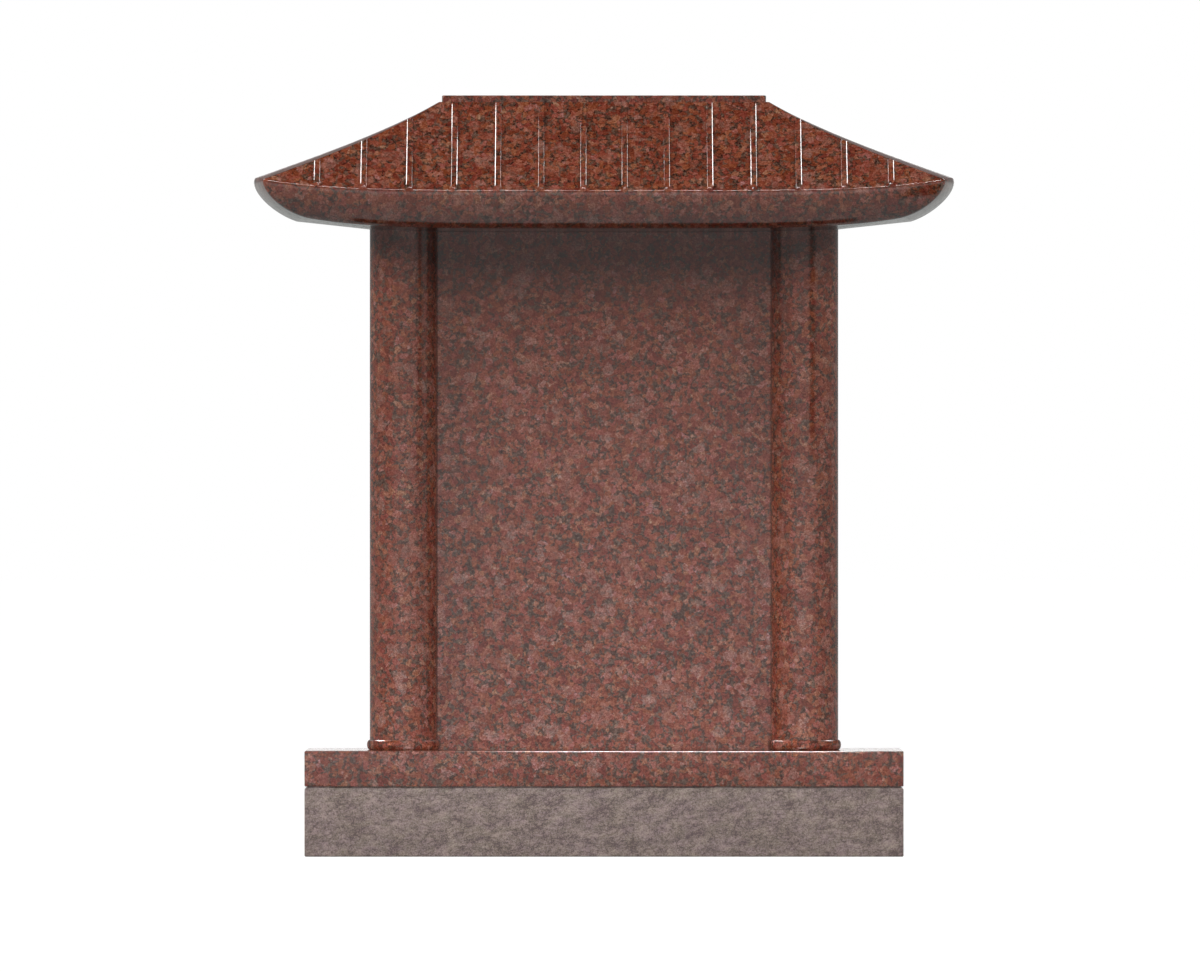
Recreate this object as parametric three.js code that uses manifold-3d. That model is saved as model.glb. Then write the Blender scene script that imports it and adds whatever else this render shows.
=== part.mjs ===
// A pagoda-style granite headstone: a hip roof with upturned corners and raised ribs, carried by two
// turned columns and a polished tablet, on a plinth over a foundation slab.
// Millimetres, +Z up, front towards -Y, origin in the middle of the underside.
import * as THREE from 'three';
import { mergeVertices } from 'three/addons/utils/BufferGeometryUtils.js';
import Module from 'manifold-3d';

const wasm = await Module();
wasm.setup();

// Foundation and plinth: two slabs of one plan with a narrow shadow joint between them.
const slabWidth = 900;
const slabDepth = 300;
const foundationRim = 103;
const foundationArris = 2;
const jointHeight = 2.5;
const jointDepth = 5;
const plinthHeight = 53;
const plinthArris = 1;

// Columns: round shafts, each with a bullnosed bead at the foot.
const columnOffset = 303;
const columnRadius = 51;
const columnHeight = 782.5;
const columnSides = 40;
const beadRadius = 55.5;
const beadHeight = 15;
const beadSteps = 5;

// Tablet: its front face lies on the plane of the column axes, its ends are hollowed round the columns.
const tabletThickness = 50;

// Clearance where one stone is cut to fit another, and the distance at which points are welded into one.
const fitGap = 0.3;
const weldDistance = 1e-4;

// Roof outline: the lip is the outermost edge, the soffit rests on the columns, the shelf carries the ridge.
// The ends bow out between the corners, where their outline turns this far from square.
const roofWidth = 1058;
const roofDepth = 400;
const lipHeight = 56.5;
const endBow = THREE.MathUtils.degToRad(10);
const lipCornerRadius = 6;
const cornerLift = 16.5;
const cornerLiftPower = 5;
const soffitWidth = 714;
const soffitDepth = 112;
const soffitCornerRadius = 12;
const shelfWidth = 501;
const shelfDepth = 52;
const shelfCornerRadius = 1.5;
const ridgeWidth = 490;
const ridgeDepth = 42;
const ridgeHeight = 10;
const ridgeArris = 1;

// Underside: a flattened quarter curve falls from the lip and is cut off at the knee, before its full run.
// On the front and back it is steeper: it goes in by only a share of what it goes in at the ends. In the
// middle of the ends it sags a little towards the knee.
const ovoloRun = 80;
const ovoloDepthShare = 0.52;
const ovoloDrop = 56.5;
const ovoloPower = 1.6;
const kneeInset = 64;
const kneeCornerRadius = 10;
const endSag = 3.7;
const endSagPower = 3;
const ovoloSteps = 8;
const ovoloCrowding = 1.5;

// Slopes: a small roll over the lip, then a nearly straight rise that steepens towards the ridge. The end
// slopes are crowned between their hips, down to nothing at a share of the way up.
const rollHeight = 4;
const rollShare = 0.01;
const rollSteps = 2;
const slopeStart = 3;
const slopeRise = 100;
const ridgeSweep = 20;
const ridgeSweepPower = 3;
const endCrown = 4.4;
const endCrownShare = 0.9;
const slopeSteps = 8;

// Ribs: upright strips on the front and back slopes, their spacing widening slightly from the middle.
const ribsPerHalf = 7;
const ribWidth = 10;
const ribStandOff = 3.6;
const ribSpacing = 62;
const ribSpread = 0.65;
const ribFootInset = 3;
const ribHipClearance = 0.5;

// Steps around a ring of the roof.
const longSideSteps = 16;
const shortSideSteps = 6;
const cornerSteps = 4;

const plinthLevel = foundationRim + jointHeight;
const columnLevel = plinthLevel + plinthHeight;
const soffitLevel = columnLevel + columnHeight;
const lipLevel = soffitLevel + lipHeight;
const shelfLevel = slopeLevel(1, 0);

const redGranite = new THREE.MeshStandardMaterial({ color: 0x7d4b41, roughness: 0.12, metalness: 0 });
const greyGranite = new THREE.MeshStandardMaterial({ color: 0x85756f, roughness: 0.75, metalness: 0 });

// Booleans

function toSolid(geometry) {
  const bare = geometry.clone();
  bare.deleteAttribute('normal');
  bare.deleteAttribute('uv');
  const welded = mergeVertices(bare, weldDistance);
  const vertProperties = new Float32Array(welded.attributes.position.array);
  const triVerts = new Uint32Array(welded.index.array);
  return new wasm.Manifold(new wasm.Mesh({ numProp: 3, vertProperties, triVerts }));
}

function toGeometry(solid) {
  const mesh = solid.getMesh();
  const geometry = new THREE.BufferGeometry();
  geometry.setAttribute('position', new THREE.BufferAttribute(mesh.vertProperties, mesh.numProp));
  geometry.setIndex(new THREE.BufferAttribute(mesh.triVerts, 1));
  geometry.computeVertexNormals();
  return geometry;
}

// Slabs

// A slab standing on z = 0 with all its edges taken off by a flat arris.
function slabGeometry(width, depth, height, arris) {
  const x = width / 2;
  const y = depth / 2;
  const outline = new THREE.Shape();
  outline.moveTo(-x + arris, -y);
  outline.lineTo(x - arris, -y);
  outline.lineTo(x, -y + arris);
  outline.lineTo(x, y - arris);
  outline.lineTo(x - arris, y);
  outline.lineTo(-x + arris, y);
  outline.lineTo(-x, y - arris);
  outline.lineTo(-x, -y + arris);
  outline.closePath();
  const geometry = new THREE.ExtrudeGeometry(outline, {
    depth: height - 2 * arris,
    bevelThickness: arris,
    bevelSize: arris,
    bevelOffset: -arris,
    bevelSegments: 1,
  });
  return geometry.translate(0, 0, arris);
}

function boxGeometry(x0, x1, y0, y1, z0, z1) {
  const geometry = new THREE.BoxGeometry(x1 - x0, y1 - y0, z1 - z0);
  return geometry.translate((x0 + x1) / 2, (y0 + y1) / 2, (z0 + z1) / 2);
}

// The foundation's raised bed carries the plinth clear of the rim and leaves the shadow joint around it.
function foundationGeometry() {
  const x = slabWidth / 2 - jointDepth;
  const y = slabDepth / 2 - jointDepth;
  const bed = boxGeometry(-x, x, -y, y, foundationRim / 2, plinthLevel);
  const rim = slabGeometry(slabWidth, slabDepth, foundationRim, foundationArris);
  return toGeometry(toSolid(rim).add(toSolid(bed)));
}

// Columns and tablet

// A column turned from its half outline, left long at the top and grown outward by a gap.
function columnOutline(gap) {
  const points = [new THREE.Vector2(0, -gap)];
  const beadDepth = beadRadius - columnRadius;
  for (let step = 0; step <= beadSteps; step += 1) {
    const angle = Math.PI * (step / beadSteps - 0.5);
    const radius = columnRadius + beadDepth * Math.cos(angle) + gap;
    const height = (beadHeight / 2) * (1 + Math.sin(angle)) + gap * Math.sin(angle);
    points.push(new THREE.Vector2(radius, height));
  }
  points.push(new THREE.Vector2(columnRadius + gap, columnHeight + cornerLift));
  points.push(new THREE.Vector2(0, columnHeight + cornerLift));
  return new THREE.LatheGeometry(points, columnSides).rotateX(Math.PI / 2);
}

// Cuts the top of a stone that stands on the plinth to the curve of the roof's underside.
function fitUnderRoof(stone, x) {
  const cutter = toSolid(roofBodyGeometry().translate(-x, 0, -columnLevel - fitGap));
  return toGeometry(stone.subtract(cutter));
}

function tabletGeometry() {
  const height = columnHeight + cornerLift;
  const block = boxGeometry(-columnOffset, columnOffset, 0, tabletThickness, 0, height);
  let tablet = toSolid(block);
  for (const side of [-1, 1]) {
    const hollow = columnOutline(fitGap).translate(side * columnOffset, 0, 0);
    tablet = tablet.subtract(toSolid(hollow));
  }
  return fitUnderRoof(tablet, 0);
}

// Roof

// Height of the slope a share of the way from the lip to the shelf; reach is 0 mid-side and 1 at a corner,
// and crest is 0 on the front and back and at the hips, and 1 in the middle of an end.
function slopeLevel(share, reach, crest = 0) {
  const fade = (1 - share) ** 2;
  const lift = cornerLift * (1 - fade + fade * reach ** cornerLiftPower);
  const rise = slopeRise * share + ridgeSweep * share ** ridgeSweepPower;
  const crown = endCrown * crest * Math.max(0, 1 - (share / endCrownShare) ** 2);
  return lipLevel + slopeStart + lift + rise + crown;
}

// A closed outline with rounded corners and bowed ends. The height of each point follows its reach along
// the width, which is 1 from the corners on, its place across, and its crest on an end.
function roofRing(halfWidth, halfDepth, radius, level) {
  const endY = halfDepth - radius + radius * Math.sin(endBow);
  const bow = (Math.tan(endBow) * endY) / 2;
  const endX = halfWidth - bow;
  const cornerX = endX - radius * Math.cos(endBow);
  const cornerY = halfDepth - radius;
  const ring = [];
  const add = (x, y, crest) => {
    const reach = Math.min(Math.abs(x) / endX, 1);
    ring.push(new THREE.Vector3(x, y, level({ reach, x, crest })));
  };
  const corners = [[1, -1], [1, 1], [-1, 1], [-1, -1]];
  corners.forEach(([sideX, sideY], corner) => {
    const towardsEnd = corner % 2 === 0;
    for (let step = 0; step <= cornerSteps; step += 1) {
      const turn = (Math.PI / 2 - endBow) * (towardsEnd ? step / cornerSteps : 1 - step / cornerSteps);
      const x = cornerX + radius * Math.sin(turn);
      const y = cornerY + radius * Math.cos(turn);
      add(sideX * x, sideY * y, 0);
    }
    const steps = towardsEnd ? shortSideSteps : longSideSteps;
    for (let step = 1; step < steps; step += 1) {
      const travel = 1 - (2 * step) / steps;
      if (towardsEnd) {
        add(sideX * (halfWidth - bow * travel ** 2), sideY * endY * travel, 1 - travel ** 2);
      } else {
        add(sideX * cornerX * travel, sideY * halfDepth, 0);
      }
    }
  });
  return ring;
}

// Rings of one length, from the lowest up, joined into a closed body. Each end is closed by strips that run
// from front to back between mirrored points, starting in the middle of the right-hand side.
function loftGeometry(rings) {
  const count = rings[0].length;
  const points = rings.flat();
  const faces = [];
  for (let level = 0; level + 1 < rings.length; level += 1) {
    for (let step = 0; step < count; step += 1) {
      const low = level * count + step;
      const lowNext = level * count + ((step + 1) % count);
      faces.push(low, lowNext, lowNext + count, low, lowNext + count, low + count);
    }
  }
  const top = (rings.length - 1) * count;
  const middle = cornerSteps + shortSideSteps / 2;
  const half = count / 2;
  for (let step = 0; step < half; step += 1) {
    const front = (middle - step + count) % count;
    const back = (middle + step) % count;
    const frontNext = (front - 1 + count) % count;
    const backNext = (back + 1) % count;
    if (step > 0) {
      faces.push(front, backNext, back, top + front, top + back, top + backNext);
    }
    if (step < half - 1) {
      faces.push(front, frontNext, backNext, top + front, top + backNext, top + frontNext);
    }
  }
  const geometry = new THREE.BufferGeometry().setFromPoints(points);
  return geometry.setIndex(faces);
}

// The soffit bends up towards its ends as the knee does.
function undersideRings() {
  const kneeReach = roofWidth / 2 - kneeInset;
  const bent = ({ x }) => soffitLevel + cornerLift * (Math.abs(x) / kneeReach) ** cornerLiftPower;
  const rings = [roofRing(soffitWidth / 2, soffitDepth / 2, soffitCornerRadius, bent)];
  for (let step = ovoloSteps; step >= 1; step -= 1) {
    const inset = kneeInset * (step / ovoloSteps) ** ovoloCrowding;
    const drop = ovoloDrop * (1 - (1 - inset / ovoloRun) ** ovoloPower) ** (1 / ovoloPower);
    const radius = THREE.MathUtils.lerp(lipCornerRadius, kneeCornerRadius, inset / kneeInset);
    const sag = endSag * (drop / ovoloDrop) ** endSagPower;
    const level = ({ reach, crest }) => lipLevel - drop + cornerLift * reach ** cornerLiftPower - sag * crest;
    const halfDepth = roofDepth / 2 - ovoloDepthShare * inset;
    rings.push(roofRing(roofWidth / 2 - inset, halfDepth, radius, level));
  }
  return rings;
}

// A ring of the slopes, its front and back pushed out and its ends drawn in by the given amounts.
function slopeRing(share, pushOut, drawIn, level) {
  const halfWidth = THREE.MathUtils.lerp(roofWidth, shelfWidth, share) / 2 - drawIn;
  const halfDepth = THREE.MathUtils.lerp(roofDepth, shelfDepth, share) / 2 + pushOut;
  const radius = THREE.MathUtils.lerp(lipCornerRadius, shelfCornerRadius, share);
  return roofRing(halfWidth, halfDepth, radius, level);
}

function slopeRings(pushOut, drawIn) {
  const rings = [];
  for (let step = 0; step <= slopeSteps; step += 1) {
    const share = THREE.MathUtils.lerp(rollShare, 1, step / slopeSteps);
    const level = ({ reach, crest }) => slopeLevel(share, reach, crest);
    rings.push(slopeRing(share, pushOut, drawIn, level));
  }
  return rings;
}

function rollRings() {
  const rings = [];
  for (let step = 0; step < rollSteps; step += 1) {
    const angle = (Math.PI / 2) * (step / rollSteps);
    const share = rollShare * (1 - Math.cos(angle));
    const lip = ({ reach }) => lipLevel + cornerLift * reach ** cornerLiftPower;
    const level = (place) => lip(place) + (rollHeight + endCrown * place.crest) * Math.sin(angle);
    rings.push(slopeRing(share, 0, 0, level));
  }
  return rings;
}

// Ribs are upright strips cut to a body that stands proud of the front and back slopes alone, so each
// one dies away where it meets a hip.
function ribSolids() {
  const skirt = slopeRing(rollShare, ribStandOff, ribHipClearance, () => lipLevel - cornerLift);
  const envelope = toSolid(loftGeometry([skirt, ...slopeRings(ribStandOff, ribHipClearance)]));
  const foot = roofDepth / 2 - ribFootInset;
  const head = shelfDepth / 2;
  const solids = [];
  for (let rib = 0; rib < ribsPerHalf; rib += 1) {
    const place = rib + 0.5;
    const centre = place * (ribSpacing + ribSpread * place);
    for (const sideX of [-1, 1]) {
      for (const sideY of [-1, 1]) {
        const x = sideX * centre;
        const ys = [sideY * foot, sideY * head].sort((one, other) => one - other);
        const strip = boxGeometry(x - ribWidth / 2, x + ribWidth / 2, ...ys, lipLevel, shelfLevel);
        solids.push(toSolid(strip).intersect(envelope));
      }
    }
  }
  return solids;
}

function roofBodyGeometry() {
  return loftGeometry([...undersideRings(), ...rollRings(), ...slopeRings(0, 0)]);
}

function roofGeometry() {
  const ridge = slabGeometry(ridgeWidth, ridgeDepth, 2 * ridgeHeight, ridgeArris);
  ridge.translate(0, 0, shelfLevel - ridgeHeight);
  let roof = toSolid(roofBodyGeometry()).add(toSolid(ridge));
  for (const rib of ribSolids()) {
    roof = roof.add(rib);
  }
  return toGeometry(roof);
}

// Assembly

function piece(name, geometry, material, x, z) {
  const mesh = new THREE.Mesh(geometry, material);
  mesh.name = name;
  mesh.position.set(x, 0, z);
  return mesh;
}

const group = new THREE.Group();
group.add(piece('foundation', foundationGeometry(), greyGranite, 0, 0));
const plinth = slabGeometry(slabWidth, slabDepth, plinthHeight, plinthArris);
group.add(piece('plinth', plinth, redGranite, 0, plinthLevel));
for (const [name, x] of [['column_left', -columnOffset], ['column_right', columnOffset]]) {
  const column = fitUnderRoof(toSolid(columnOutline(0)), x);
  group.add(piece(name, column, redGranite, x, columnLevel));
}
group.add(piece('tablet', tabletGeometry(), redGranite, 0, columnLevel));
group.add(piece('roof', roofGeometry(), redGranite, 0, 0));

export default group;
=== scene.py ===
# %% [markdown]
# # A granite headstone under a pagoda roof
#
# Six blocks of granite make this headstone: a grey foundation, a polished red plinth, two round
# columns, a blank tablet between them and a carved roof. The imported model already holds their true
# sizes and places. This lesson keeps every stone where it is and gives it the finer surface of the
# real one: eased edges, smooth turning, and roof ribs with polished chamfers.

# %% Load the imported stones
import math

import bpy
import numpy as np
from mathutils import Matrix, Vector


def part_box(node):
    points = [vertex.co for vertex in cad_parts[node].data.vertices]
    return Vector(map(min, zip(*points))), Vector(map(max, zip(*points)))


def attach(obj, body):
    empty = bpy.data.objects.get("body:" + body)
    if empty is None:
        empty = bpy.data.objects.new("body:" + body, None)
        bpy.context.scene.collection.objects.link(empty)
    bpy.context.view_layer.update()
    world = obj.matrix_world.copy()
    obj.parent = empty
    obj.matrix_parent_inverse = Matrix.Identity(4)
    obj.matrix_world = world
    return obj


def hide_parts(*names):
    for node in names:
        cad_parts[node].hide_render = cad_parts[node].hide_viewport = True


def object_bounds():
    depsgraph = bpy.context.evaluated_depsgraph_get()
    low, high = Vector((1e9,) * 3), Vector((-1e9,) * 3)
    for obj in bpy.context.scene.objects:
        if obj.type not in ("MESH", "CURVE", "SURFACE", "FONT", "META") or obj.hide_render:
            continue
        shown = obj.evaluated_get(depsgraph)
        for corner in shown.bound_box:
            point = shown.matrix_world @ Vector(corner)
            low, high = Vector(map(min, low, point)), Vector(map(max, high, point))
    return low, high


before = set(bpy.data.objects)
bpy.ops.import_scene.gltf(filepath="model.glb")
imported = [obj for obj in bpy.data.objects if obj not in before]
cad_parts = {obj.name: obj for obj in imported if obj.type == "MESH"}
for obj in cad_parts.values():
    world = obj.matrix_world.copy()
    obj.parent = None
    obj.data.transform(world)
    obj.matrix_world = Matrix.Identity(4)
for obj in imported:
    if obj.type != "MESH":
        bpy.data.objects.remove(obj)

cad_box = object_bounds()
print("stones in the frame:", ", ".join(sorted(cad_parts)))

# %% [markdown]
# ## The camera
#
# The picture shows the stone straight on with next to no perspective: no slab shows its top, and
# upright edges stay parallel. A short lens close by would show the tops, so a very long lens looks
# from far away, level with the middle of the picture. The scale in the plane of the tablet's face,
# with the distance, gives the lens.

# %% Set up the camera
MM = 0.001
image_width_px = 1200
mm_per_px = 1.5117
stone_right_of_middle_px = 4
camera_distance = 24.0
camera_height = 0.557
sensor_width = 36.0
farthest_seen = 200.0


def make_camera():
    """A level camera in front of the stone, on a long lens."""
    lens = bpy.data.cameras.new("front_camera")
    lens.sensor_width = sensor_width
    lens.lens = sensor_width * camera_distance / (image_width_px * mm_per_px * MM)
    lens.clip_end = farthest_seen
    holder = bpy.data.objects.new("front_camera", lens)
    holder.location = (-stone_right_of_middle_px * mm_per_px * MM, -camera_distance, camera_height)
    holder.rotation_euler = (math.radians(90), 0, 0)
    bpy.context.collection.objects.link(holder)
    bpy.context.scene.camera = holder
    return holder


camera = make_camera()
print("camera lens, mm:", round(camera.data.lens, 1))

# %% [markdown]
# ## Working sizes
#
# A mason's drawing is in millimetres, so the shapes here are worked out in millimetres and turned
# into metres only when a mesh is made. The big sizes are read from the frame, so that a new pack of
# the same part moves everything with it. Only what the boxes cannot tell, such as the radius of an
# eased edge, is a number of its own.

# %% Read the stones' sizes from the frame


def stone_box(node):
    """A stone's lowest and highest corner in millimetres."""
    low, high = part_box(node)
    return np.array(low) / MM, np.array(high) / MM


foundation_low, foundation_high = stone_box("foundation")
plinth_low, plinth_high = stone_box("plinth")
column_low, column_high = stone_box("column_right")
tablet_high = stone_box("tablet")[1]
roof_low, roof_high = stone_box("roof")
slab_half_width, slab_half_depth = foundation_high[:2]
column_offset = (column_low[0] + column_high[0]) / 2
bead_radius = (column_high[0] - column_low[0]) / 2
print("slabs, mm:", round(2 * slab_half_width), "by", round(2 * slab_half_depth))
print("column axes at, mm:", round(column_offset, 1), "roof width, mm:", round(2 * roof_high[0]))

# %% [markdown]
# ## From points to a stone
#
# Every stone is a skin of rings: level outlines stacked from its bed to its top. Modelling by hand
# with extrudes and bevels would give the same, but rings worked out by formulas keep the true sizes
# and stay easy to change. One helper joins the rings, and one makes the object, puts it on the
# frame's only body and hides the packed stone it stands in for. Edges that turn by more than 32
# degrees are kept sharp and all else is shaded smooth, as polish does.

# %% Helpers that skin rings and make a stone
sharp_turn = math.radians(32)


def skin(rings):
    """Join equal rings, lowest first, and close the two ends."""
    count = len(rings[0])
    points = np.concatenate(rings)
    faces = []
    for level in range(len(rings) - 1):
        low = level * count
        high = low + count
        for k in range(count):
            after = (k + 1) % count
            faces.append((low + k, low + after, high + after, high + k))
    faces.append(tuple(range(count - 1, -1, -1)))
    faces.append(tuple(range(len(points) - count, len(points))))
    return points, faces


def make_stone(name, node, slot, points, faces):
    """Turn points in millimetres and faces into a stone in place of a packed one."""
    mesh = bpy.data.meshes.new(name)
    mesh.from_pydata((np.asarray(points) * MM).tolist(), [], faces)
    mesh.validate()
    mesh.shade_smooth()
    mesh.set_sharp_from_angle(angle=sharp_turn)
    stone = bpy.data.objects.new(name, mesh)
    bpy.context.collection.objects.link(stone)
    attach(stone, "root")
    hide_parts(node)
    mesh.calc_loop_triangles()
    print(name, "made with", len(mesh.loop_triangles), "triangles")
    return stone


# %% [markdown]
# ## The foundation and the plinth
#
# Both slabs are sawn to size, and a mason takes the edge off every arris with a rubbing stone, so
# that it does not chip. A cube with a Bevel modifier would do, but the foundation also has a raised
# bed, set back a few millimetres, that leaves the thin shadow line under the plinth. Rings with
# rounded corners give both. The easing is a quarter circle, so each ring's inset follows a cosine.

# %% Build the two slabs
arris_steps = 5
foundation_arris = 2.0
plinth_arris = 1.2
bed_setback = 5.0
bed_height = 2.5


def slab_ring(half_width, half_depth, radius, level):
    """One level outline of a slab, with its upright corners rounded."""
    points = []
    for corner, (side_x, side_y) in enumerate(((1, 1), (-1, 1), (-1, -1), (1, -1))):
        for step in range(arris_steps + 1):
            turn = (corner + step / arris_steps) * math.pi / 2
            across = side_x * (half_width - radius) + radius * math.cos(turn)
            along = side_y * (half_depth - radius) + radius * math.sin(turn)
            points.append((across, along, level))
    return np.array(points)


def slab_rings(bed, top, arris):
    """Outlines of a slab from bed to top, eased at both edges."""
    insets = [arris * (1 - math.sin(step / arris_steps * math.pi / 2)) for step in range(arris_steps + 1)]
    rises = [arris * (1 - math.cos(step / arris_steps * math.pi / 2)) for step in range(arris_steps + 1)]
    levels = [bed + rise for rise in rises] + [top - rise for rise in reversed(rises)]
    rings = []
    for inset, level in zip(insets + insets[::-1], levels):
        rings.append(slab_ring(slab_half_width - inset, slab_half_depth - inset, arris, level))
    return rings


rim_level = foundation_high[2] - bed_height
foundation_rings = slab_rings(foundation_low[2], rim_level, foundation_arris)
for level in (rim_level, foundation_high[2]):
    foundation_rings.append(
        slab_ring(slab_half_width - bed_setback, slab_half_depth - bed_setback, foundation_arris, level)
    )
foundation = make_stone("foundation_slab", "foundation", "grey_granite", *skin(foundation_rings))
plinth_rings = slab_rings(plinth_low[2], plinth_high[2], plinth_arris)
plinth = make_stone("plinth_slab", "plinth", "red_granite", *skin(plinth_rings))

# %% [markdown]
# ## The underside that the columns meet
#
# The roof's soffit is not flat: like the eaves it lifts towards the corners, by a fifth power of
# the distance from the middle, so it is level for most of its width and bows up only near the ends.
# The tops of the columns and of the tablet are cut to that curve, so the curve comes first.

# %% Measure the lift of the roof's corners
corner_lift = 16.5
corner_lift_power = 5
knee_inset = 64.0
knee_half_width = roof_high[0] - knee_inset
bedding_gap = 0.3


def soffit_level(across):
    """Level of the roof's underside above a place on the tablet's axis."""
    return roof_low[2] + corner_lift * np.abs(np.asarray(across) / knee_half_width) ** corner_lift_power


print("soffit lift at the columns, mm:", round(float(soffit_level(column_offset) - roof_low[2]), 2))

# %% [markdown]
# ## The columns
#
# A column is turned on a lathe from one block, with a round bead left standing at its foot. Blender's
# Screw modifier could spin the profile, but the top is cut to the soffit's curve, so each ring is made
# here and the top ring takes its level from the soffit. The bead is half an ellipse.

# %% Turn the two columns
column_radius = 51.0
bead_height = 15.0
bead_steps = 20
column_sides = 144


def column_profile_radius(height):
    """Radius of a column at a height over the plinth."""
    swell = 1 - (2 * np.clip(height / bead_height, 0, 1) - 1) ** 2
    return column_radius + (bead_radius - column_radius) * np.sqrt(swell)


def turn_column(side):
    """Rings of one column, side being -1 for the left one and 1 for the right one."""
    turns = np.arange(column_sides) / column_sides * 2 * math.pi
    heights = bead_height * (1 - np.cos(np.linspace(0, math.pi, bead_steps + 1))) / 2
    rings = []
    for height in heights:
        radius = column_profile_radius(height)
        level = np.full(column_sides, plinth_high[2] + height)
        rings.append(
            np.column_stack((side * column_offset + radius * np.cos(turns), radius * np.sin(turns), level))
        )
    top = rings[-1].copy()
    top[:, 2] = soffit_level(top[:, 0]) - bedding_gap
    return rings + [top]


columns = []
for side, place in ((-1, "left"), (1, "right")):
    shape = skin(turn_column(side))
    columns.append(make_stone("turned_column_" + place, "column_" + place, "red_granite", *shape))

# %% [markdown]
# ## The tablet
#
# The tablet is a plain polished slab between the columns. Its ends are hollowed to clasp the columns,
# so no gap shows from the front or the back. A boolean cut by the columns would make that hollow, but
# it leaves long thin faces. Here each level outline simply follows the column's radius at its height,
# which also lets the bead in at the foot.

# %% Shape the tablet
tablet_face_steps = 48
tablet_end_steps = 10
tablet_back = tablet_high[1]


def tablet_ring(height):
    """One level outline of the tablet, anticlockwise from the left end of its face."""
    clasp = column_profile_radius(height) + bedding_gap
    end_turn = np.linspace(0, math.asin(tablet_back / clasp), tablet_end_steps + 1)
    end_across = column_offset - clasp * np.cos(end_turn)
    end_along = clasp * np.sin(end_turn)
    face = np.linspace(-end_across[0], end_across[0], tablet_face_steps + 1)
    back = np.linspace(end_across[-1], -end_across[-1], tablet_face_steps + 1)
    across = np.concatenate((face, end_across[1:-1], back, -end_across[-2:0:-1]))
    along = np.concatenate(
        (np.zeros(len(face)), end_along[1:-1], np.full(len(back), tablet_back), end_along[-2:0:-1])
    )
    return np.column_stack((across, along, np.full(len(across), plinth_high[2] + height)))


tablet_heights = bead_height * (1 - np.cos(np.linspace(0, math.pi, bead_steps + 1))) / 2
tablet_rings = [tablet_ring(height) for height in tablet_heights]
tablet_top = tablet_rings[-1].copy()
tablet_top[:, 2] = soffit_level(tablet_top[:, 0]) - bedding_gap
tablet = make_stone("blank_tablet", "tablet", "red_granite", *skin(tablet_rings + [tablet_top]))

# %% [markdown]
# ## The roof's curves
#
# The roof is one carved block. From the lip a slope rises to the ridge, gently at first and steeper
# near the top. Below the lip a rounded moulding, the ovolo, runs in to a knee, and from there the
# soffit carries on to the columns. Both ends bow out a little in plan and are crowned in the middle,
# so a thin band of each end shows beyond the hip. Sculpting would lose the sizes, so every level comes
# from a formula. A share of 0 is the lip and 1 the foot of the ridge bar. The reach is how far out to
# the side a point lies, 1 being the corner, and the crest is 1 in the middle of an end. The lip is
# rounded by a parabola that leaves the ovolo upright and ends along the slope.

# %% Write the roof's curves as formulas
lip_half_width, lip_half_depth = roof_high[:2]
lip_height = 56.5
lip_level = roof_low[2] + lip_height
lip_corner_radius = 6.0
shelf_half_width = 250.5
shelf_half_depth = 26.0
shelf_corner_radius = 1.5
ridge_bar_height = 10.0
shelf_level = roof_high[2] - ridge_bar_height
slope_start = 3.0
ridge_sweep = 20.0
ridge_sweep_power = 3
end_crown = 4.4
end_crown_share = 0.9
slope_rise = shelf_level - lip_level - slope_start - corner_lift - ridge_sweep
roll_share = 0.01
end_bow = math.radians(10)


def between(start, end, share):
    """The value a share of the way from start to end."""
    return start + (end - start) * share


def slope_level(share, reach, crest=0.0):
    """Level of the bare slope. The crest is 0 but on the ends, and 1 in their middle."""
    fade = (1 - share) ** 2
    lift = corner_lift * (1 - fade + fade * reach**corner_lift_power)
    crown = end_crown * crest * max(0.0, 1 - (share / end_crown_share) ** 2)
    rise = slope_rise * share + ridge_sweep * share**ridge_sweep_power
    return lip_level + slope_start + lift + rise + crown


def corner_centre(half_width, half_depth, radius):
    """Centre of a ring's rounded corner, and half the width where the bowed end leaves the corner."""
    end_along = half_depth - radius + radius * math.sin(end_bow)
    end_across = half_width - math.tan(end_bow) * end_along / 2
    return end_across - radius * math.cos(end_bow), half_depth - radius, end_across


def top_level(share, reach, crest=0.0):
    """Level of the roof's top side, with the lip rounded over."""
    if share >= roll_share:
        return slope_level(share, reach, crest)
    along = math.sqrt(share / roll_share)
    lip = lip_level + corner_lift * reach**corner_lift_power
    start = slope_level(0, reach, crest)
    first = between(lip, start, along)
    last = between(start, slope_level(roll_share, reach, crest), along)
    return between(first, last, along)


print("slope rise, mm:", round(slope_rise, 1), "shelf level, mm:", round(shelf_level, 1))

# %% [markdown]
# ## Lines for the ribs
#
# Seven raised ribs stand on each half of the front and back slopes, a little wider apart towards the
# ends, and each stops at the hip. The mesh has lines of constant width across for them: the middle of
# a rib, both edges of its chamfers and the foot of its walls, with even lines in the gaps. Every line
# beyond the ridge ends where it meets the hip, and the ring at that level passes through the same
# point. So the hip stays a clean edge, with no boolean and no ragged triangles.

# %% Place the lines across the roof
ribs_per_half = 7
rib_spacing = 62.0
rib_spread = 0.65
rib_half_top = 3.7
rib_half_chamfer = 4.7
rib_half_foot = 5.0
rib_rise = 2.8
rib_chamfer_share = 0.58
rib_chamfer_spread = 0.07
rib_foot_run = (0.5, 2.0)
rib_head_share = (0.98, 0.99)
gap_step = 8.0
roll_steps = 9
rib_foot_steps = 2
line_tolerance = 1e-6
lip_run = lip_half_depth - shelf_half_depth
lip_line = corner_centre(lip_half_width, lip_half_depth, lip_corner_radius)[0]
shelf_line = corner_centre(shelf_half_width, shelf_half_depth, shelf_corner_radius)[0]
rib_places = [number + 0.5 for number in range(ribs_per_half)]
rib_centres = [place * (rib_spacing + rib_spread * place) for place in rib_places]


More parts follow.
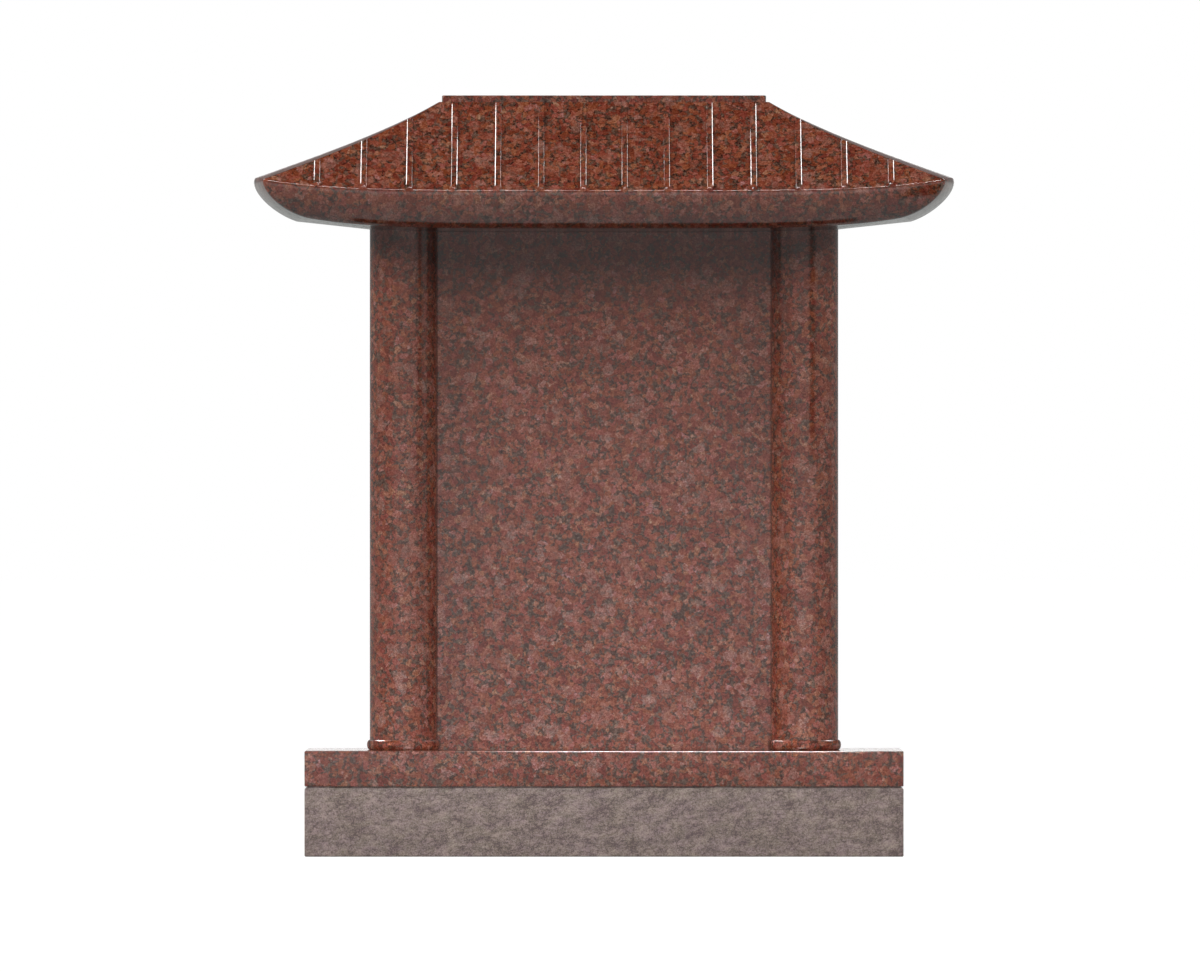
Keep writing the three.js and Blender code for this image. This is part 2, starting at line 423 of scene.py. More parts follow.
def share_at_line(across):
    """Share of the ring that meets the hip at this line."""
    return max(0.0, (lip_line - across) / (lip_line - shelf_line))


def line_at_share(share):
    """Line that meets the hip at this share."""
    return between(lip_line, shelf_line, share)


def roof_lines():
    """Places of all lines from the middle of the roof to its corner, ribs included."""
    fixed = [0.0, shelf_line]
    for centre in rib_centres:
        for offset in (0.0, rib_half_top, rib_half_chamfer, rib_half_foot):
            fixed += [centre - offset, centre + offset]
    fixed += [line_at_share(share) for share in rib_head_share]
    roll_runs = [lip_run * roll_share * (step / roll_steps) ** 2 for step in range(roll_steps + 1)]
    foot_runs = [between(*rib_foot_run, step / rib_foot_steps) for step in range(rib_foot_steps + 1)]
    fixed += [line_at_share(run / lip_run) for run in roll_runs + foot_runs]
    fixed = np.unique(np.round(fixed, 6))
    lines = []
    for start, end in zip(fixed[:-1], fixed[1:]):
        parts = max(1, round((end - start) / gap_step))
        lines += list(np.linspace(start, end, parts + 1)[:-1])
    return np.array(lines + [fixed[-1]])


half_lines = roof_lines()
hip_lines = half_lines[half_lines >= shelf_line - line_tolerance][::-1]
print("ribs at, mm:", [round(centre) for centre in rib_centres])
print("lines on each half:", len(half_lines), "of which end on the hip:", len(hip_lines))

# %% [markdown]
# ## The ribs' section
#
# A rib is a low flat bar with chamfered edges, and the polished chamfers are what shows as thin bright
# lines. A bump map could fake them from the front, but not in the mesh itself, so they are real
# faces. The section says how much of the full height each line has. Chamfers rubbed by hand are never
# quite alike, so their share of the height swings a little from rib to rib, and each glints in its own
# way. Along the rib, its foot rises in a short steep facet just behind the lip, and its head sinks away
# below the ridge.

# %% Work out the height of a rib on every line


def rib_section(across):
    """Share of a rib's height on a line, 0 between the ribs."""
    nearest = min(abs(abs(across) - centre) for centre in rib_centres)
    places = (rib_half_top, rib_half_chamfer, rib_half_foot)
    chamfer_share = rib_chamfer_share + rib_chamfer_spread * math.sin(across)
    return float(np.interp(nearest, places, (1.0, chamfer_share, 0.0)))


def rib_length_share(share):
    """Share of a rib's height along its length: foot, run and head."""
    foot = np.interp(share * lip_run, rib_foot_run, (0.0, 1.0))
    head = np.interp(share, rib_head_share, (1.0, 0.0))
    return float(foot * head)


section = {across: rib_section(across) for across in half_lines}
print("lines on rib tops:", sum(1 for share in section.values() if share == 1.0))

# %% [markdown]
# ## Rings of the roof
#
# A ring of the roof has a front, a right end, a back and a left end. The front and back hold one point
# for each line that is still left at that level, and the ends hold the rounded corners and a few points
# between them. Kept apart like this, two rings of unequal length are easy to join: their ends match
# point for point, and their fronts share all lines but the outermost.

# %% Make the rings of the roof's top side
corner_steps = 6
end_steps = 12


def end_points(half_width, half_depth, radius, side):
    """Points round one end of a ring, from the front when side is 1 and from the back when it is -1."""
    centre_across, centre_along, end_across = corner_centre(half_width, half_depth, radius)
    turns = np.linspace(-math.pi / 2, -end_bow, corner_steps + 1)
    arc_across = centre_across + radius * np.cos(turns)
    arc_along = -centre_along + radius * np.sin(turns)
    travel = np.linspace(-1, 1, end_steps + 1)[1:-1]
    bow_across = between(half_width, end_across, travel**2)
    bow_along = -arc_along[-1] * travel
    across = np.concatenate((arc_across, bow_across, arc_across[::-1]))
    along = np.concatenate((arc_along, bow_along, -arc_along[::-1]))
    return np.column_stack((side * across, side * along))


def top_ring(outermost):
    """The four sides of the ring whose hip lies at a line."""
    share = share_at_line(outermost)
    half_width = between(lip_half_width, shelf_half_width, share)
    half_depth = between(lip_half_depth, shelf_half_depth, share)
    radius = between(lip_corner_radius, shelf_corner_radius, share)
    end_across = corner_centre(half_width, half_depth, radius)[2]
    lines = half_lines[half_lines <= outermost + line_tolerance]
    ribs = np.array([section[across] for across in lines]) * rib_length_share(share) * rib_rise
    ribs[-1] = 0.0
    bare = np.array([top_level(share, across / end_across) for across in lines])
    levels = bare + ribs
    across = np.concatenate((-lines[:0:-1], lines))
    levels = np.concatenate((levels[:0:-1], levels))
    front = np.column_stack((across, np.full(len(across), -half_depth), levels))
    sides = [front]
    for side in (1, -1):
        plan = end_points(half_width, half_depth, radius, side)
        reach = np.minimum(np.abs(plan[:, 0]) / end_across, 1)
        crest = np.maximum(np.abs(plan[:, 0]) - end_across, 0) / (half_width - end_across)
        level = [top_level(share, *place) for place in zip(reach, crest)]
        sides.append(np.column_stack((plan, level)))
    back = front * (-1, -1, 1)
    return [front, sides[1], back, sides[2]]


top_rings = [top_ring(outermost) for outermost in hip_lines]
print("rings on the slopes:", len(top_rings), "with", len(top_rings[0][0]), "lines at the lip")

# %% [markdown]
# ## Under the lip and on the ridge
#
# Below the lip and on top of the shelf no line ends, so these rings are the lip's and the shelf's own
# outlines, narrowed step by step. The ovolo's section is part of a superellipse, flatter than a circle.
# It is steeper along the front and back than at the ends, whose foot sags a little between the corners.
# Its rings crowd towards the lip, where it turns fastest. The ridge bar is a low block with eased edges.
# A Bevel modifier with a custom profile could round the lip, but not with two slopes at once.

# %% Make the rings of the ovolo, the soffit and the ridge bar
ovolo_run = 80.0
ovolo_depth_share = 0.52
ovolo_drop = lip_height
ovolo_power = 1.6
end_sag = 3.7
end_sag_power = 3
ovolo_steps = 20
ovolo_crowding = 1.8
knee_corner_radius = 10.0
soffit_half_width = 357.0
soffit_half_depth = 56.0
soffit_corner_radius = 12.0
knee_sharpness = 0.02
ridge_half_width = 245.0
ridge_half_depth = 21.0
ridge_arris = 1.0
ridge_arris_steps = 3


def narrowed(ring, half_width, half_depth, radius, level):
    """A ring with the same points as another on a smaller outline, level being a function of x."""
    reach = corner_centre(half_width, half_depth, radius)[0] / ring[0][-1, 0]
    front = ring[0][:, :2] * (reach, 0) - (0, half_depth)
    plans = [front, end_points(half_width, half_depth, radius, 1)]
    plans += [-front, end_points(half_width, half_depth, radius, -1)]
    return [np.column_stack((plan, level(plan[:, 0]))) for plan in plans]


def ovolo_ring(inset):
    """One ring of the moulding, set in from the lip."""
    half_width = lip_half_width - inset
    half_depth = lip_half_depth - ovolo_depth_share * inset
    radius = between(lip_corner_radius, knee_corner_radius, inset / knee_inset)
    end_across = corner_centre(half_width, half_depth, radius)[2]
    run = inset / ovolo_run
    drop = ovolo_drop * (1 - (1 - run) ** ovolo_power) ** (1 / ovolo_power)
    sag = end_sag * (drop / ovolo_drop) ** end_sag_power

    def level(across):
        reach = np.minimum(np.abs(across) / end_across, 1)
        crest = np.maximum(np.abs(across) - end_across, 0) / (half_width - end_across)
        return lip_level - drop + corner_lift * reach**corner_lift_power - sag * crest

    return narrowed(top_rings[0], half_width, half_depth, radius, level)


def soffit_ring(share):
    """One ring of the soffit, from the knee at 0 to the columns at 1."""
    knee = ovolo_ring(knee_inset)
    inner = narrowed(top_rings[0], soffit_half_width, soffit_half_depth, soffit_corner_radius, soffit_level)
    return [between(outer_side, inner_side, share) for outer_side, inner_side in zip(knee, inner)]


def ridge_ring(inset, level):
    """One ring of the ridge bar."""
    size = (ridge_half_width - inset, ridge_half_depth - inset, ridge_arris)
    return narrowed(top_rings[-1], *size, lambda across: np.full(len(across), level))


ovolo_insets = [knee_inset * (step / ovolo_steps) ** ovolo_crowding for step in range(1, ovolo_steps + 1)]
under_rings = [soffit_ring(1.0), soffit_ring(knee_sharpness)]
under_rings += [ovolo_ring(inset) for inset in reversed(ovolo_insets)]
ridge_rings = [ridge_ring(0.0, shelf_level)]
for step in range(ridge_arris_steps + 1):
    turn = step / ridge_arris_steps * math.pi / 2
    ease = ridge_arris * (1 - math.cos(turn))
    ridge_rings.append(ridge_ring(ease, roof_high[2] - ridge_arris * (1 - math.sin(turn))))
print("rings below the lip:", len(under_rings), "on the ridge:", len(ridge_rings))

# %% [markdown]
# ## Joining the roof
#
# The joiner walks up from the soffit to the ridge. Where both rings have the same lines, every patch
# is a four-sided face. Where the upper ring has lost its outermost line, the patch at the hip is a
# triangle. Neighbouring sides share their corner points, so those are merged by number, not by
# distance. The soffit and the top of the ridge bar are closed by strips from front to back.

# %% Join the rings into one stone


def number_ring(ring, points):
    """Add a ring's points once each and return the four sides as point numbers."""
    front, right, back, left = ring
    numbers = []
    for side in (front, right[1:-1], back, left[1:-1]):
        first = len(points)
        points.extend(side.tolist())
        numbers.append(list(range(first, first + len(side))))
    right_side = [numbers[0][-1]] + numbers[1] + [numbers[2][0]]
    left_side = [numbers[2][-1]] + numbers[3] + [numbers[0][0]]
    return [numbers[0], right_side, numbers[2], left_side]


def join_side(low, high, faces):
    """Faces between one side of two neighbouring rings, the lower first."""
    lost = (len(low) - len(high)) // 2
    if lost:
        faces.append((low[0], low[1], high[0]))
        faces.append((low[-2], low[-1], high[-1]))
    for k in range(len(high) - 1):
        faces.append((low[k + lost], low[k + lost + 1], high[k + 1], high[k]))


def close_ring(ring, upwards, faces):
    """Strips from front to back that close the bottom or the top of the roof."""
    front, right, back, left = ring
    back = back[::-1]
    strips = [[front[k], front[k + 1], back[k + 1], back[k]] for k in range(1, len(front) - 2)]
    strips.append([front[0], front[1], back[1]] + left[:-1])
    strips.append([front[-2]] + right + [back[-2]])
    for strip in strips:
        faces.append(tuple(strip if upwards else strip[::-1]))


def join_roof(rings):
    """Points and faces of the whole roof from its rings, lowest first."""
    points = []
    faces = []
    numbered = [number_ring(ring, points) for ring in rings]
    for low, high in zip(numbered[:-1], numbered[1:]):
        for low_side, high_side in zip(low, high):
            join_side(low_side, high_side, faces)
    close_ring(numbered[0], False, faces)
    close_ring(numbered[-1], True, faces)
    return points, faces


roof_shape = join_roof(under_rings + top_rings + ridge_rings)
roof = make_stone("carved_roof", "roof", "red_granite", *roof_shape)

# %% [markdown]
# ## Sums on shader sockets
#
# Granite is a mixture, so its shader is a long sum: so much of this grain, less of that one. Wiring
# dozens of Math nodes by hand hides the sum. This small class wraps the output of a node, and Python's
# own signs then add the Math nodes. Colours and vectors have their own methods, because a Math node
# would turn a colour grey. Every other node is added by one method.

# %% Write the class that wraps a socket


class Wire:
    """An output of a shader node that takes part in sums."""

    def __init__(self, tree, socket=None):
        self.tree = tree
        self.socket = socket

    def node(self, kind, settings=None, sockets=None):
        """Add a node: settings first, then its sockets' values or links. Returns its outputs by name."""
        made = self.tree.nodes.new(kind)
        for name, value in (settings or {}).items():
            if name == "stops":
                self.set_stops(made.color_ramp, value)
            else:
                setattr(made, name, value)
        for name, value in (sockets or {}).items():
            fitting = [
                socket for socket in made.inputs
                if socket.enabled and name in (socket.name, socket.identifier)
            ]
            if isinstance(value, Wire):
                self.tree.links.new(value.socket, fitting[0])
            else:
                fitting[0].default_value = value
        return {socket.name: Wire(self.tree, socket) for socket in made.outputs if socket.enabled}

    @staticmethod
    def set_stops(ramp, stops):
        """Give a colour ramp its stops, each a place and a linear colour."""
        while len(ramp.elements) < len(stops):
            ramp.elements.new(1.0)
        for element, (place, colour) in zip(ramp.elements, stops):
            element.position = place
            element.color = (*colour, 1.0)

    def sum(self, operation, first, second):
        """One Math node on two values or wires."""
        inputs = {"Value": first, "Value_001": second}
        return self.node("ShaderNodeMath", {"operation": operation}, inputs)["Value"]

    def __add__(self, other):
        return self.sum("ADD", self, other)

    def __radd__(self, other):
        return self.sum("ADD", other, self)

    def __sub__(self, other):
        return self.sum("SUBTRACT", self, other)

    def __rsub__(self, other):
        return self.sum("SUBTRACT", other, self)

    def __mul__(self, other):
        return self.sum("MULTIPLY", self, other)

    def __rmul__(self, other):
        return self.sum("MULTIPLY", other, self)

    def step(self, start, end):
        """A soft step from 0 at start to 1 at end."""
        inputs = {"Value": self, "From Min": start, "From Max": end}
        return self.node("ShaderNodeMapRange", {"interpolation_type": "SMOOTHSTEP"}, inputs)["Result"]

    def moved(self, offset):
        """A vector moved by a fixed vector or a wire."""
        inputs = {"Vector": self, "Vector_001": offset}
        return self.node("ShaderNodeVectorMath", {"operation": "ADD"}, inputs)["Vector"]

    def scaled(self, scale):
        """A vector times a fixed vector."""
        inputs = {"Vector": self, "Vector_001": scale}
        return self.node("ShaderNodeVectorMath", {"operation": "MULTIPLY"}, inputs)["Vector"]

    def blend(self, first, second):
        """A mix of two colours by this wire, 0 being the first."""
        inputs = {"Factor": self, "A": first, "B": second}
        return self.node("ShaderNodeMix", {"data_type": "RGBA"}, inputs)["Result"]

    def dyed(self, dye):
        """This colour times another one."""
        inputs = {"Factor": 1.0, "A": self, "B": dye}
        return self.node("ShaderNodeMix", {"data_type": "RGBA", "blend_type": "MULTIPLY"}, inputs)["Result"]

    def tinted(self, colours):
        """A colour ramp read by this wire."""
        return self.node("ShaderNodeValToRGB", {"stops": colours}, {"Fac": self})["Color"]


print("the wrapper adds, subtracts and multiplies sockets")

# %% [markdown]
# ## Grains
#
# A Voronoi texture fills space with cells, and each cell carries random numbers of its own: just what
# crystals in a rock are like. In solid space the grains run round every corner, as in a sawn block.
# Straight cell walls look like mosaic, so the place is first shaken by a noise. Each stone gets its
# own shift in space, as if it were cut from another part of the quarry.

# %% Write the textures that all granites share


def stone_place(tree, shift):
    """Where on the stone a point lies, in metres, moved to this stone's part of the quarry."""
    place = Wire(tree).node("ShaderNodeTexCoord")["Object"]
    return place.moved(shift)


def shaken(place, per_metre, reach):
    """A place shaken by a noise, so that cells get ragged walls."""
    noise = place.node(
        "ShaderNodeTexNoise", {"noise_dimensions": "3D"},
        {"Vector": place, "Scale": per_metre, "Detail": 2.0},
    )["Color"]
    away = noise.moved((-0.5, -0.5, -0.5)).scaled((reach, reach, reach))
    return place.moved(away)


def grains(place, size_mm):
    """Two random numbers for each grain of about this size."""
    cells = place.node(
        "ShaderNodeTexVoronoi", {"feature": "F1"}, {"Vector": place, "Scale": 1 / (size_mm * MM)}
    )["Color"]
    parts = place.node("ShaderNodeSeparateColor", None, {"Color": cells})
    return parts["Red"], parts["Green"]


def walls(place, size_mm):
    """Distance from the nearest wall between grains of about this size."""
    inputs = {"Vector": place, "Scale": 1 / (size_mm * MM)}
    return place.node("ShaderNodeTexVoronoi", {"feature": "DISTANCE_TO_EDGE"}, inputs)["Distance"]


def clouds(place, size_mm, detail=2.0):
    """A smooth noise around 0.5 with patches of about this size."""
    inputs = {"Vector": place, "Scale": 1 / (size_mm * MM), "Detail": detail}
    return place.node("ShaderNodeTexNoise", {"noise_dimensions": "3D"}, inputs)["Fac"]


def with_alpha(colour):
    """A colour for a socket, which also wants an alpha."""
    return (*colour, 1.0)


def new_finish(name):
    """An empty node material with its shader, ready for wires."""
    finish = bpy.data.materials.new(name)
    finish.use_nodes = True
    return finish, finish.node_tree.nodes["Principled BSDF"]


print("grain textures are ready")

# %% [markdown]
# ## Polished red granite
#
# Coarse red feldspar makes up most of this stone: crystals about a centimetre across, from deep red to
# pale pink, with a dark brown mineral in patches along their joints, a few larger pale crystals and a
# fine grit. An image would show its seams at the corners, so the stone is mixed in solid space. Each
# crystal is a Voronoi cell with its own colour. The distance to the cell's wall, with a noise, says
# where the dark mineral lies. Masks lay the dark mineral and the pale crystals over the red, and the
# grit then lightens and darkens all of it. Polish leaves feldspar glossy and the soft dark mineral a
# little duller. In the roof's block the grains are drawn out from front to back.

# %% Make the red granite
hornblende = (0.030, 0.019, 0.013)
olive_mica = (0.084, 0.052, 0.035)
deep_red = (0.105, 0.020, 0.011)
brick_red = (0.160, 0.034, 0.018)
orange_red = (0.205, 0.052, 0.028)
salmon = (0.225, 0.078, 0.052)
pale_pink = (0.250, 0.118, 0.090)
pale_crystal_mm = 15.0
crystal_mm = 9.0
grain_mm = 3.8
speck_mm = 2.4
grit_mm = 1.3
dark_patch_mm = 9.0
wide_shake = (110.0, 0.009)
ragged_shake = (330.0, 0.0015)
grain_shake = (260.0, 0.005)
speck_shake = (500.0, 0.002)
dark_cover = 0.85
pale_cover = 0.46
dullness_of_dark = 0.08


def red_granite(name, shift, stretch, polish):
    """The polished red stone."""
    finish, shader = new_finish(name)
    place = stone_place(finish.node_tree, shift).scaled(stretch)
    crystal_place = shaken(shaken(place, *wide_shake), *ragged_shake)
    pale_light, pale_kind = grains(crystal_place, pale_crystal_mm)
    crystal_light, crystal_hue = grains(crystal_place, crystal_mm)
    grain_light, grain_kind = grains(shaken(place, *grain_shake), grain_mm)
    speck_light, _ = grains(shaken(place, *speck_shake), speck_mm)
    grit = clouds(place, grit_mm, 1.0)
    patch = clouds(place, dark_patch_mm, 2.0)

    minerals = (0.72 * crystal_light + 0.28 * grain_light).tinted((
        (0.12, deep_red), (0.38, brick_red), (0.64, orange_red), (0.88, salmon), (1.00, pale_pink),
    ))
    hue = crystal_hue.tinted(((0.0, (1.0, 0.90, 1.06)), (1.0, (1.0, 1.10, 0.84))))
    clear_of_joints = walls(crystal_place, crystal_mm) + 1.2 * patch + 0.12 * grain_light
    clots = dark_cover * (1.0 - clear_of_joints.step(0.64, 0.80))
    dark = grain_kind.tinted(((0.35, hornblende), (0.75, olive_mica)))
    coloured = clots.blend(minerals.dyed(hue), dark)
    pale = pale_light.tinted(((0.1, brick_red), (0.5, salmon), (1.0, pale_pink)))
    coloured = (pale_cover * pale_kind.step(0.84, 0.86)).blend(coloured, pale)
    sparkle = (0.5 * speck_light + 1.6 * grit - 0.55).tinted(
        ((0.0, (0.50, 0.34, 0.27)), (0.5, (1.0, 1.0, 1.0)), (1.0, (1.6, 2.1, 2.4)))
    )
    coloured = coloured.dyed(sparkle)

    roughness = polish + dullness_of_dark * clots
    links = finish.node_tree.links
    links.new(coloured.socket, shader.inputs["Base Color"])
    links.new(roughness.socket, shader.inputs["Roughness"])
    return finish


no_stretch = (1.0, 1.0, 1.0)
roof_stretch = (1.0, 0.65, 1.0)
high_polish = 0.10
fair_polish = 0.20
quarry_shifts = {
    plinth: (0.31, 0.07, 0.0),
    columns[0]: (1.13, 0.41, 0.27),
    columns[1]: (2.37, 0.83, 0.59),
    tablet: (3.71, 1.29, 0.0),
    roof: (5.03, 1.77, 0.83),
}
for stone, shift in quarry_shifts.items():
    stretch = roof_stretch if stone is roof else no_stretch
    polish = high_polish if stone in (roof, plinth) else fair_polish
    stone.data.materials.append(red_granite("red_granite_" + stone.name, shift, stretch, polish))
print("red granite on", len(quarry_shifts), "stones")

# %% [markdown]
# ## Sawn grey granite
#
# The foundation is a finer, mauve-grey granite, left matt from the saw. Its grains are drawn out a
# little along the slab, in slanting streaks. The same textures do, with the place squeezed before they
# read it: wide streaks, patches within them, and specks, grain walls and grit on top are summed to one
# lightness that a ramp turns into colour. Here a fine bump is true to the stone, because the saw leaves
# a grain that can be felt.

# %% Make the grey granite
grey_dark = (0.092, 0.068, 0.060)
grey_middle = (0.189, 0.146, 0.131)
grey_pale = (0.297, 0.238, 0.216)
streak_slant = math.radians(-9)
streak_stretch = (1.7, 1.0, 1.0)
streak_mm = 20.0
streak_patch_mm = 9.0
warm_patch_mm = 12.0
sawn_grain_mm = 6.5
sawn_speck_mm = 3.2
sawn_grit_mm = 1.5
sawn_grain_shake = (220.0, 0.008)
sawn_speck_shake = (300.0, 0.004)
sawn_roughness = 0.75
saw_mark_depth = 0.6 * MM
saw_mark_strength = 0.25


def grey_granite(name, shift):
    """The matt mauve-grey stone."""
    finish, shader = new_finish(name)
    place = stone_place(finish.node_tree, shift)
    drawn = place.node(
        "ShaderNodeMapping", {"vector_type": "TEXTURE"},
        {"Vector": place, "Rotation": (0.0, streak_slant, 0.0), "Scale": streak_stretch},
    )["Vector"]
    streaks = clouds(drawn, streak_mm, 3.0)
    patch = clouds(drawn, streak_patch_mm, 2.0)
    wall = walls(shaken(drawn, *sawn_grain_shake), sawn_grain_mm)
    speck_light, _ = grains(shaken(drawn, *sawn_speck_shake), sawn_speck_mm)
    grit = clouds(place, sawn_grit_mm, 1.0)
    speckle = 0.34 * speck_light + 1.8 * grit + 0.32 * wall.step(0.0, 0.16)
    lightness = 1.1 * streaks + 0.9 * patch + speckle - 1.80
    coloured = lightness.tinted(((0.0, grey_dark), (0.5, grey_middle), (1.0, grey_pale)))
    warmth = clouds(drawn, warm_patch_mm, 1.0).tinted(
        ((0.3, (1.0, 0.97, 1.03)), (0.7, (1.0, 1.02, 0.96)))
    )
    coloured = coloured.dyed(warmth)
    grain_height = grit + 0.4 * speck_light
    saw_marks = {"Strength": saw_mark_strength, "Distance": saw_mark_depth, "Height": grain_height}
    bump = place.node("ShaderNodeBump", None, saw_marks)["Normal"]
    links = finish.node_tree.links
    links.new(coloured.socket, shader.inputs["Base Color"])
    links.new(bump.socket, shader.inputs["Normal"])
    shader.inputs["Roughness"].default_value = sawn_roughness
    return finish


foundation.data.materials.append(grey_granite("grey_granite_sawn", (0.53, 0.19, 0.0)))
print("grey granite on the foundation")

# %% [markdown]
# ## The floor
#
# The stone stands in a white studio. A white floor under lamps would show a shadow and a horizon, so this
# one glows white by itself with only a trace of shade, and meets the white background without a line.
# It is hidden from bounced light and reflections, so it throws no light up under the eaves.

# %% Lay the floor
floor_half_size = 70.0
floor_glow = 1.0
floor_grey = (0.06, 0.06, 0.06)
white = (1.0, 1.0, 1.0)


def make_floor():
    """A wide, plain, pale floor under the stone."""
    corners = [(-1, -1), (1, -1), (1, 1), (-1, 1)]
    points = [(x * floor_half_size, y * floor_half_size, cad_box[0][2]) for x, y in corners]
    mesh = bpy.data.meshes.new("studio_floor")
    mesh.from_pydata(points, [], [(0, 1, 2, 3)])
    laid = bpy.data.objects.new("studio_floor", mesh)
    bpy.context.collection.objects.link(laid)
    finish, shader = new_finish("pale_floor")
    shader.inputs["Base Color"].default_value = with_alpha(floor_grey)
    shader.inputs["Roughness"].default_value = 1.0
    shader.inputs["Specular IOR Level"].default_value = 0.0
    shader.inputs["Emission Color"].default_value = with_alpha(white)
    shader.inputs["Emission Strength"].default_value = floor_glow
    mesh.materials.append(finish)
    laid.visible_diffuse = False
    laid.visible_glossy = False


make_floor()
print("floor of", 2 * floor_half_size, "m laid")

# %% [markdown]
# ## Soft panels
#
# Light on polished stone does two jobs: it brightens the colour, and it lies on the surface as a
# reflection. One set of lamps can rarely please both, so each lamp here does only one. Large soft panels
# in front, at both sides, above and behind brighten the stone, and the roof shades the tablet's top. A
# narrow low panel, whose light spreads little, lifts the two slabs. None of them shows in the polish.

# %% Hang the soft panels
stone_middle = np.array((0.0, 0.0, 0.6))
panel_distance = 6.0


def hang_panel(name, place, size, radiance, diffuse=True, glossy=True, aim=stone_middle, spread=180.0):
    """A lamp panel at a place in metres, turned to its aim. A panel of radiance 1 looks white."""
    width, height = size
    panel = bpy.data.lights.new(name, "AREA")
    panel.shape = "RECTANGLE"
    panel.size = width
    panel.size_y = height
    panel.energy = radiance * math.pi * width * height
    panel.spread = math.radians(spread)
    holder = bpy.data.objects.new(name, panel)
    holder.location = place
    away = np.array(place) - np.array(aim)
    turn = math.atan2(away[0], -away[1])
    tilt = math.atan2(math.hypot(away[0], away[1]), away[2])
    holder.rotation_euler = (tilt, 0.0, turn)
    holder.visible_camera = False
    holder.visible_diffuse = diffuse
    holder.visible_glossy = glossy
    bpy.context.collection.objects.link(holder)
    return holder


def around(azimuth, elevation):
    """A place around the stone: azimuth 0 is the front and 90 the right."""
    turn = math.radians(azimuth)
    rise = math.radians(elevation)
    level = panel_distance * math.cos(rise)
    place = (level * math.sin(turn), -level * math.cos(turn), panel_distance * math.sin(rise))
    return stone_middle + np.array(place)


hang_panel("front_panel", around(-8, 30), (4.0, 2.2), 5.6, glossy=False)
hang_panel("left_panel", around(-70, 27), (3.0, 2.5), 10.0, glossy=False)
hang_panel("right_panel", around(70, 27), (3.0, 2.5), 6.6, glossy=False)
hang_panel("top_panel", around(0, 78), (4.0, 1.5), 2.0, glossy=False)
hang_panel("back_panel", around(180, 45), (6.0, 3.0), 4.8, glossy=False)
low_place = np.array((-1.0, -6.0, 0.1))
low_aim = low_place * (0.0, 0.0, 1.0)
hang_panel("low_panel", low_place, (4.0, 0.3), 1.25, glossy=False, aim=low_aim, spread=15.0)

# %% [markdown]
# ## Lamps for the glints
#
# These lamps do the other job: they show in the polish and brighten nothing else. A wide dim one in
# front lies as a veil on the tablet. Two behind, left and right, catch the rib edges, and a narrow bar
# high in front catches the feet of the ribs. Three more would spoil the roof, so light linking keeps two
# of them to the columns, for the beads, and one to the plinth, for its upper arris.

# %% Place the lamps for the glints
veil_place = np.array((0.0, -3.0, 0.47))
veil_aim = veil_place * (0.0, 0.0, 1.0)
roof_middle = np.array((0.0, -0.1, 1.05))
rib_lamp_size = (1.0, 0.3)
rib_lamp_radiance = 16.0
bead_lamp_size = (0.8, 0.8)


def light_only(lamp, stones):
    """Keep a lamp to some stones, and let it shine past the others."""
    lit = bpy.data.collections.new("lit_by_" + lamp.name)
    for stone in stones:
        lit.objects.link(stone)
    lamp.light_linking.receiver_collection = lit
    lamp.data.use_shadow = False


hang_panel("front_mirror", veil_place, (5.0, 0.6), 0.65, diffuse=False, aim=veil_aim)
for name, side in (("left_glint", -1), ("right_glint", 1)):
    place = (side * 1.35, 1.3, 2.3)
    hang_panel(name, place, rib_lamp_size, rib_lamp_radiance, diffuse=False, aim=roof_middle)
hang_panel("foot_glint", (0.0, -3.07, 3.78), (1.3, 0.12), 85.0, diffuse=False, aim=roof_middle)
for name, side, radiance in (("left_bead_glint", -1, 110.0), ("right_bead_glint", 1, 32.0)):
    place = (side * 1.52, 1.55, 2.43)
    light_only(hang_panel(name, place, bead_lamp_size, radiance, diffuse=False), columns)
plinth_lamp = hang_panel("plinth_glint", (0.25, -2.5, 2.7), (1.2, 1.6), 130.0, diffuse=False)
light_only(plinth_lamp, [plinth])

# %% [markdown]
# ## A dark card
#
# Photographers hold a black card beside a shiny object, so that its reflection draws a clear dark stripe
# where the colour shows at its deepest. One stands near the right column. A lamp cannot take light away,
# so the card is a plain black mesh that only reflections can see.

# %% Stand the dark card
card_middle = np.array((0.56, -0.56, 0.77))
card_width = 0.21
card_height = 0.34
card_turn = math.radians(45)


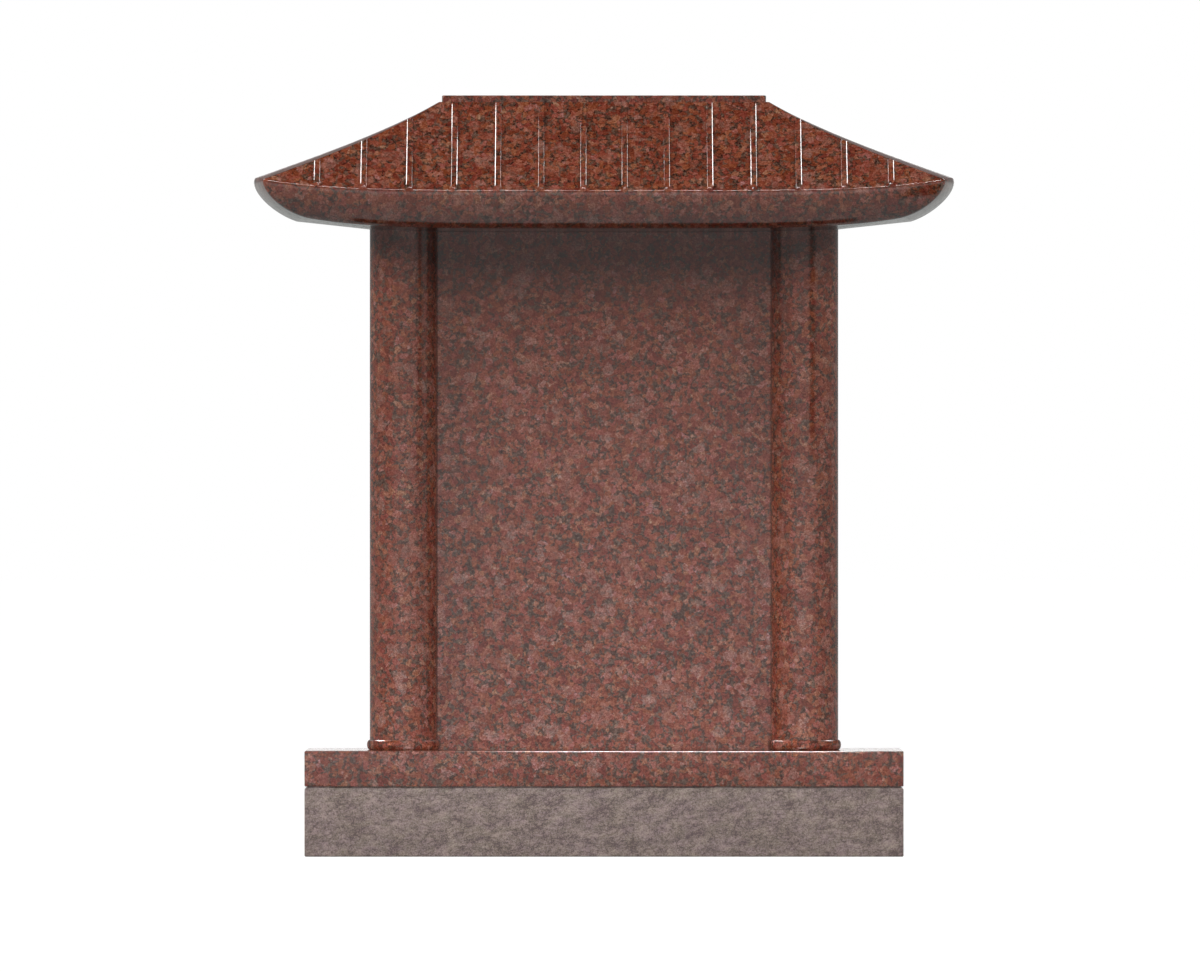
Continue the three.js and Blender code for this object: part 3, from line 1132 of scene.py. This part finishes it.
def stand_card():
    """An upright black card, turned from facing the viewer."""
    across = np.array((math.cos(card_turn), math.sin(card_turn), 0.0)) * card_width / 2
    up = np.array((0.0, 0.0, card_height / 2))
    corners = [
        card_middle - across - up, card_middle + across - up,
        card_middle + across + up, card_middle - across + up,
    ]
    mesh = bpy.data.meshes.new("dark_card")
    mesh.from_pydata([tuple(corner) for corner in corners], [], [(0, 1, 2, 3)])
    card = bpy.data.objects.new("dark_card", mesh)
    bpy.context.collection.objects.link(card)
    finish, shader = new_finish("dark_card")
    shader.inputs["Base Color"].default_value = with_alpha((0.0, 0.0, 0.0))
    shader.inputs["Roughness"].default_value = 1.0
    shader.inputs["Specular IOR Level"].default_value = 0.0
    mesh.materials.append(finish)
    card.visible_camera = False
    card.visible_diffuse = False
    card.visible_shadow = False


stand_card()
print("dark card of", card_width, "by", card_height, "m stands")

# %% [markdown]
# ## The room
#
# The world is the room around the stone. The camera sees it white. The polish sees a paler band at eye
# level that fades upwards, grey towards the back, a bright floor below, and one white spot straight
# behind, which the slab tops mirror at a glancing angle. Plain shading gets only a dim light, a little
# stronger from below, so that the soffit stays dark but not black.

# %% Light the room


def grey(lightness):
    """A colour without hue."""
    return (lightness, lightness, lightness)


def light_room():
    """A white room for the camera, pale at eye level in reflections, and dim for shading."""
    room = bpy.data.worlds.new("white_room")
    room.use_nodes = True
    tree = room.node_tree
    tree.nodes.clear()
    start = Wire(tree)
    rays = start.node("ShaderNodeLightPath")
    towards = start.node("ShaderNodeTexCoord")["Generated"]
    axes = start.node("ShaderNodeSeparateXYZ", None, {"Vector": towards})
    height = axes["Z"]
    upness = 0.5 + 0.5 * height
    frontness = 0.5 - 0.5 * axes["Y"]
    above = upness.tinted(((0.5, grey(0.6)), (0.78, grey(0.0))))
    sideways = frontness.tinted(((0.0, grey(0.4)), (0.5, grey(0.7)), (0.8, grey(1.0))))
    below = frontness.tinted(((0.1, (0.45, 0.46, 0.45)), (0.6, grey(0.85))))
    mirrored = height.step(-0.04, 0.03).blend(below, above.dyed(sideways))
    straight_behind = height.step(-0.005, 0.005) * (1.0 - frontness.step(0.0008, 0.003))
    mirrored = straight_behind.blend(mirrored, with_alpha(grey(1.3)))
    ambient = upness.tinted(((0.47, grey(0.2)), (0.53, grey(0.06))))
    shade = rays["Is Glossy Ray"].blend(ambient, mirrored)
    seen = rays["Is Camera Ray"].blend(shade, with_alpha(white))
    background = start.node("ShaderNodeBackground", None, {"Color": seen})["Background"]
    start.node("ShaderNodeOutputWorld", None, {"Surface": background})
    return room


bpy.context.scene.world = light_room()
bpy.context.scene.view_settings.view_transform = "Standard"
print("room lit")
